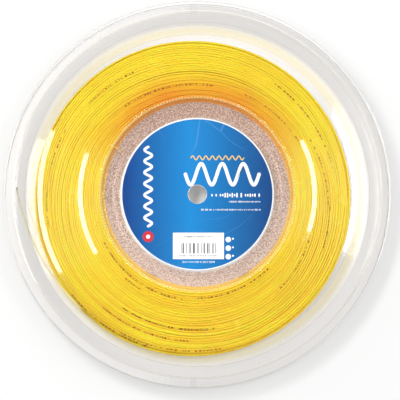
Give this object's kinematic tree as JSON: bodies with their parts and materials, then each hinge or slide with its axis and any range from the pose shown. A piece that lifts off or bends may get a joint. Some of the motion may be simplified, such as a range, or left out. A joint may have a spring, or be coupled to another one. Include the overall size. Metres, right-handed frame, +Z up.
{
  "type": "string reel",
  "caption": "Clear flat reel with stepped flanges, a spindle bore and a paper label, wound with yellow racket string whose end passes through a rim hole.",
  "frame": {"origin": "centre of the reel on the surface it lies on, on the axis of the spindle bore", "axes": "+Z up along the bore axis, from the rear rim to the front label; +Y towards the top of the label; the rim hole for the string's end is on the -X side"},
  "size_m": [0.278, 0.278, 0.0254],
  "materials": {
    "clear_plastic": "clear moulded polystyrene, polished flanges and a finely embossed hub web",
    "label_paper": "coated paper printed in a blue gradient",
    "yellow_string": "smooth glossy nylon string"
  },
  "bodies": {
    "root": {"front_half": "clear_plastic", "rear_half": "clear_plastic", "front_label": "label_paper", "winding_core": "yellow_string", "outer_turns": "yellow_string", "string_tail": "yellow_string", "string_start": "yellow_string"}
  },
  "joints": []
}
